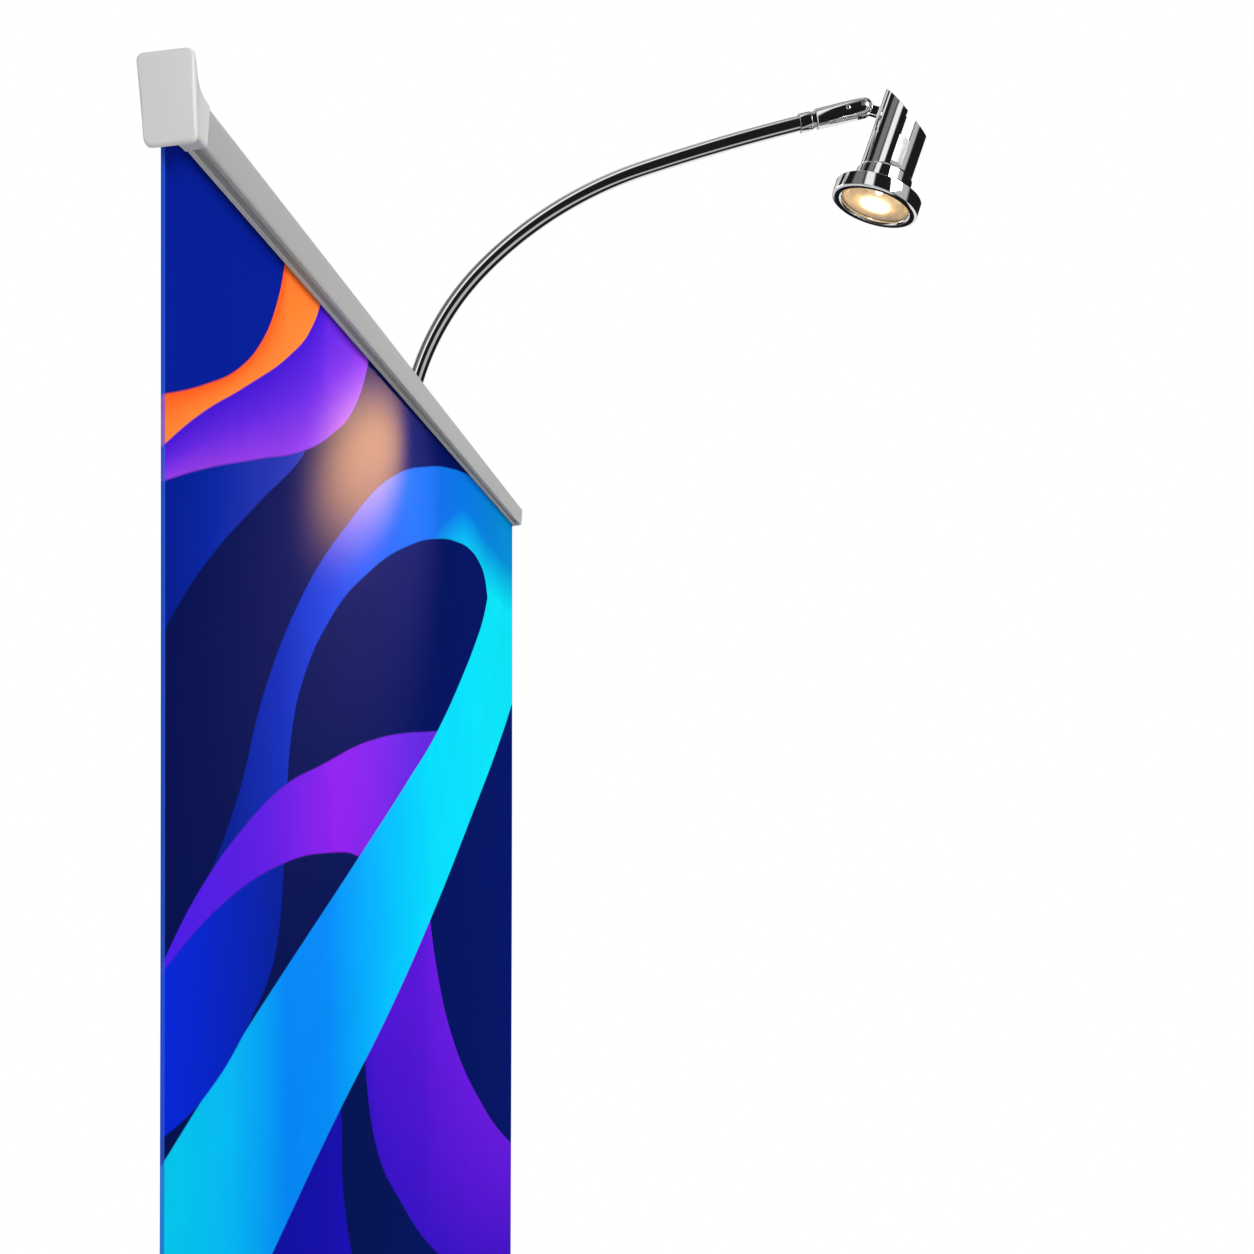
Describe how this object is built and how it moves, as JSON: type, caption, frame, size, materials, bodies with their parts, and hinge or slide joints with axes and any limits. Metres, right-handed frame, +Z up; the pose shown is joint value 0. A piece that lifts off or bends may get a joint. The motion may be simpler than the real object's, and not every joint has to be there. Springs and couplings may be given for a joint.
{
  "type": "roll-up banner stand",
  "caption": "Floor-standing retractable banner with a winding cassette, swivel feet, telescopic pole, top rail and a curved clip-on spot lamp.",
  "frame": {"origin": "on the floor under the middle of the graphic, at the centre of the cassette's middle rubber pad", "axes": "+Z up along the graphic; -Y is the way the printed face looks and the lamp reaches; +X is the right end seen from the printed face"},
  "size_m": [0.8956, 0.5365, 2.2869],
  "materials": {
    "anodised": "satin anodised",
    "cap_plastic": "moulded, light grey, satin",
    "dark_plastic": "moulded, fine spark texture",
    "rubber": "moulded",
    "steel": "zinc plated",
    "spring_steel": "oiled wire",
    "chrome": "polished chrome plate",
    "film": "printed grey-back film, satin laminate",
    "glass": "clear lens, lit from behind",
    "reflector": "dichroic, facetted",
    "ceramic": "unglazed"
  },
  "bodies": {
    "base": {"base_housing": "anodised", "base_cap_right": "dark_plastic", "base_cap_left": "dark_plastic", "roller_axle": "steel", "recoil_spring": "spring_steel", "foot_washer_left": "dark_plastic", "foot_bolt_left": "steel", "foot_washer_right": "dark_plastic", "foot_bolt_right": "steel", "centre_pad": "rubber", "pole_socket": "dark_plastic", "pole_lower": "anodised", "graphic_panel": "film"},
    "left_foot": {"foot_left": "anodised", "foot_pad_left_front": "rubber", "foot_pad_left_back": "rubber"},
    "right_foot": {"foot_right": "anodised", "foot_pad_right_front": "rubber", "foot_pad_right_back": "rubber"},
    "roller": {"roller_tube": "anodised", "wound_graphic": "film", "roller_plug_left": "dark_plastic", "roller_plug_right": "dark_plastic"},
    "transport_pin": {"lock_pin": "rubber"},
    "lower_twist_lock": {"twist_lock_lower": "dark_plastic"},
    "middle_pole": {"pole_middle": "anodised"},
    "upper_twist_lock": {"twist_lock_upper": "dark_plastic"},
    "upper_pole": {"pole_upper": "anodised", "pole_hook": "dark_plastic", "top_rail": "anodised", "rail_cap_left": "cap_plastic", "rail_cap_right": "cap_plastic", "lamp_bracket": "dark_plastic"},
    "clamp_knob": {"bracket_knob": "dark_plastic"},
    "arm": {"lamp_arm": "chrome", "arm_collar": "chrome"},
    "barrel": {"lamp_barrel": "chrome", "pivot_pin": "steel", "barrel_screw": "chrome"},
    "head": {"lamp_ring": "chrome", "lamp_lens": "glass", "lamp_reflector": "reflector", "lamp_neck": "chrome", "lamp_holder": "ceramic", "lamp_capsule": "glass", "shell_back": "chrome", "shell_front": "chrome", "lamp_lug": "chrome"}
  },
  "joints": [
    {"name": "left_foot_swivel", "type": "hinge", "parent": "base", "child": "left_foot", "pos_m": [-0.25, 0, 0.01], "axis": [0, 0, 1], "range_deg": [0, 90]},
    {"name": "right_foot_swivel", "type": "hinge", "parent": "base", "child": "right_foot", "pos_m": [0.25, 0, 0.01], "axis": [0, 0, 1], "range_deg": [-90, 0]},
    {"name": "transport_pin_push", "type": "slide", "parent": "base", "child": "transport_pin", "axis": [1, 0, 0], "range_m": [-0.005, 0]},
    {"name": "lower_lock_twist", "type": "hinge", "parent": "base", "child": "lower_twist_lock", "pos_m": [0, 0.024, 0.75], "axis": [0, 0, 1], "range_deg": [0, 90]},
    {"name": "middle_pole_slide", "type": "slide", "parent": "base", "child": "middle_pole", "axis": [0, 0, 1], "range_m": [-0.52, 0], "deforming": ["graphic_panel"]},
    {"name": "upper_lock_twist", "type": "hinge", "parent": "middle_pole", "child": "upper_twist_lock", "pos_m": [0, 0.024, 1.38], "axis": [0, 0, 1], "range_deg": [0, 90]},
    {"name": "upper_pole_slide", "type": "slide", "parent": "middle_pole", "child": "upper_pole", "axis": [0, 0, 1], "range_m": [-0.52, 0]},
    {"name": "roller_spin", "type": "hinge", "parent": "base", "child": "roller", "pos_m": [0, -0.0206, 0.0494], "axis": [1, 0, 0], "range_deg": [-3240, 0]},
    {"name": "clamp_knob_turn", "type": "hinge", "parent": "upper_pole", "child": "clamp_knob", "pos_m": [0, 0.04, 2.0174], "axis": [0, 1, 0], "range_deg": [0, 360]},
    {"name": "arm_swing", "type": "hinge", "parent": "upper_pole", "child": "arm", "pos_m": [0.025, 0.0147, 2.02], "axis": [0, 0, 1], "range_deg": [-60, 60]},
    {"name": "lamp_roll", "type": "hinge", "parent": "arm", "child": "barrel", "pos_m": [0.025, -0.26127, 2.26315], "axis": [0, -0.9763, 0.2164], "range_deg": [-150, 150]},
    {"name": "lamp_tilt", "type": "hinge", "parent": "barrel", "child": "head", "pos_m": [0.025, -0.30501, 2.27284], "axis": [1, 0, 0], "range_deg": [-75, 38]}
  ],
  "couplings": [
    {"joint": "upper_pole_slide", "follows": "middle_pole_slide", "ratio": 1},
    {"joint": "roller_spin", "follows": "middle_pole_slide", "rad_per_m": 108.75}
  ]
}
